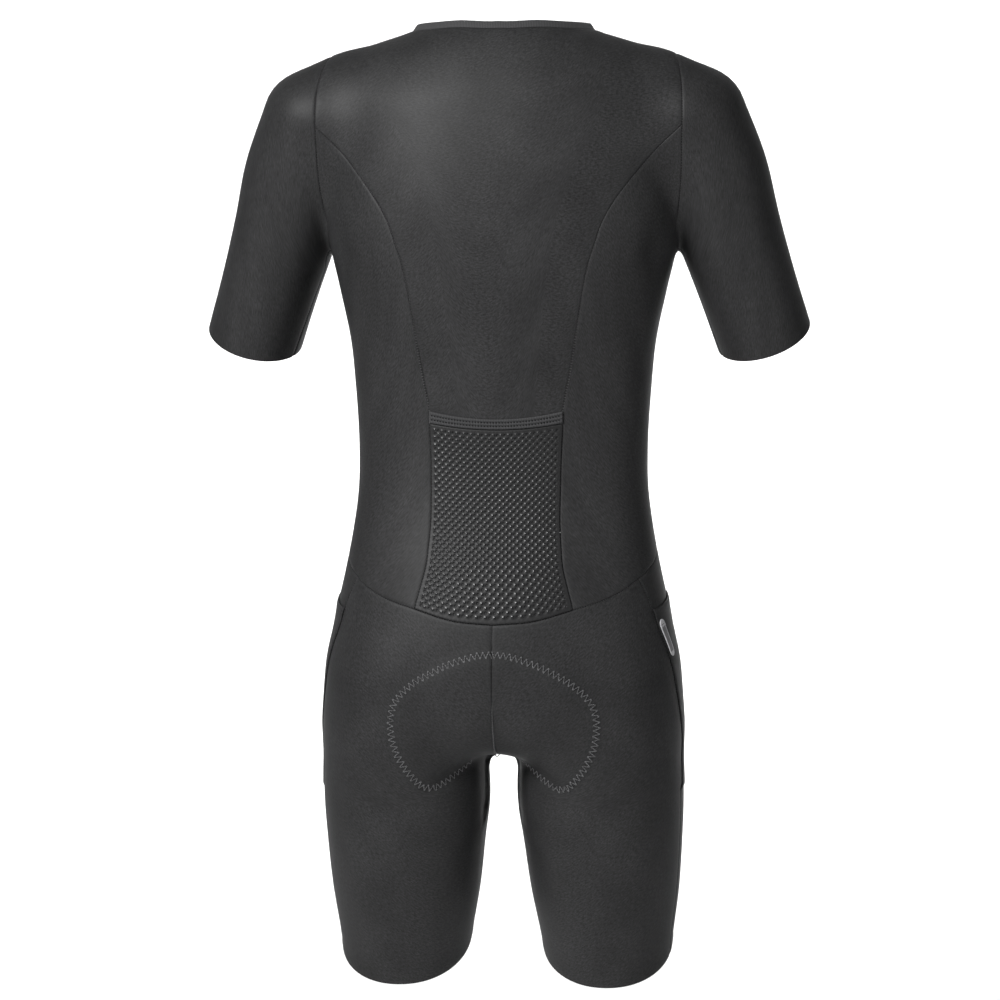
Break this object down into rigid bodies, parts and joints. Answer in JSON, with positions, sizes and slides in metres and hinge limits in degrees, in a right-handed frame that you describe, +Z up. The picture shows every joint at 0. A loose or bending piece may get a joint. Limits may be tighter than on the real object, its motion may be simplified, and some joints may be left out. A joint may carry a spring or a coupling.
{
  "type": "cycling skinsuit",
  "caption": "Short-sleeved one-piece cycling skinsuit in a worn, hollow form, with a front zip, a seat pad, a mesh back pocket and thigh pockets.",
  "frame": {"origin": "on the centre plane at the height where the shoulders carry the garment", "axes": "+Z up, the front faces -Y, the wearer's left is +X"},
  "size_m": [0.6052, 0.2346, 0.9526],
  "materials": {
    "stretch_knit": "fine warp knit, soft sheen",
    "pocket_mesh": "open eyelet knit, matt",
    "pocket_band": "folded elastic knit, matt",
    "binding": "ribbed elastic binding, matt",
    "padding": "brushed knit over foam, matt",
    "reflective_tape": "grey reflective tape",
    "zip_tape": "woven tape, matt",
    "zip_teeth": "moulded coil",
    "zip_metal": "dark satin"
  },
  "bodies": {
    "garment": {"back_centre": "stretch_knit", "back_side_left": "stretch_knit", "back_side_right": "stretch_knit", "front_left": "stretch_knit", "front_right": "stretch_knit", "sleeve_left": "stretch_knit", "sleeve_right": "stretch_knit", "shorts_back_left": "stretch_knit", "shorts_back_right": "stretch_knit", "shorts_front_left": "stretch_knit", "shorts_front_right": "stretch_knit", "side_panel_left": "stretch_knit", "side_panel_right": "stretch_knit", "thigh_pocket_left": "stretch_knit", "thigh_pocket_right": "stretch_knit", "back_pocket_mesh": "pocket_mesh", "back_pocket_band": "pocket_band", "neck_binding": "binding", "seat_pad": "padding", "side_tag": "reflective_tape", "zip_tape_left": "zip_tape", "zip_tape_right": "zip_tape", "zip_chain": "zip_teeth", "zip_slider": "zip_metal"},
    "pull": {"zip_pull": "zip_metal"}
  },
  "joints": [
    {"name": "pull_hinge", "type": "hinge", "parent": "garment", "child": "pull", "pos_m": [0, -0.08492, -0.04909], "axis": [-1, 0, 0], "range_deg": [0, 160]}
  ]
}
